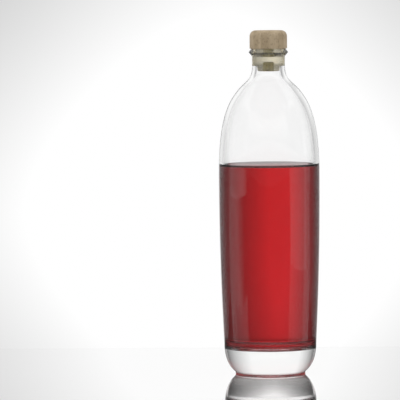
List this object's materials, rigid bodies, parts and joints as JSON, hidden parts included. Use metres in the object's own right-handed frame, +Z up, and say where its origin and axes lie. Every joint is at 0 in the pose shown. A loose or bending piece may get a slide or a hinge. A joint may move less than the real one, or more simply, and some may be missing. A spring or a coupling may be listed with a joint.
{
  "type": "stoppered liquor bottle",
  "caption": "Clear glass liquor bottle with a thick base, tapered body and round shoulder, part full of red drink, closed by a wood-headed stopper.",
  "frame": {"origin": "centre of the foot, on the plane that the bottle stands on", "axes": "+Z up along the bottle's axis of turning, towards the stopper; X and Y are any two sides of the round body"},
  "size_m": [0.0794, 0.0794, 0.2709],
  "materials": {
    "glass": "clear, smooth, polished",
    "drink": "clear red drink",
    "stopper_head": "pale turned wood, matt",
    "stopper_shank": "cream moulded plug, satin"
  },
  "bodies": {
    "root": {"bottle": "glass", "drink": "drink", "stopper_head": "stopper_head", "stopper_shank": "stopper_shank"}
  },
  "joints": []
}
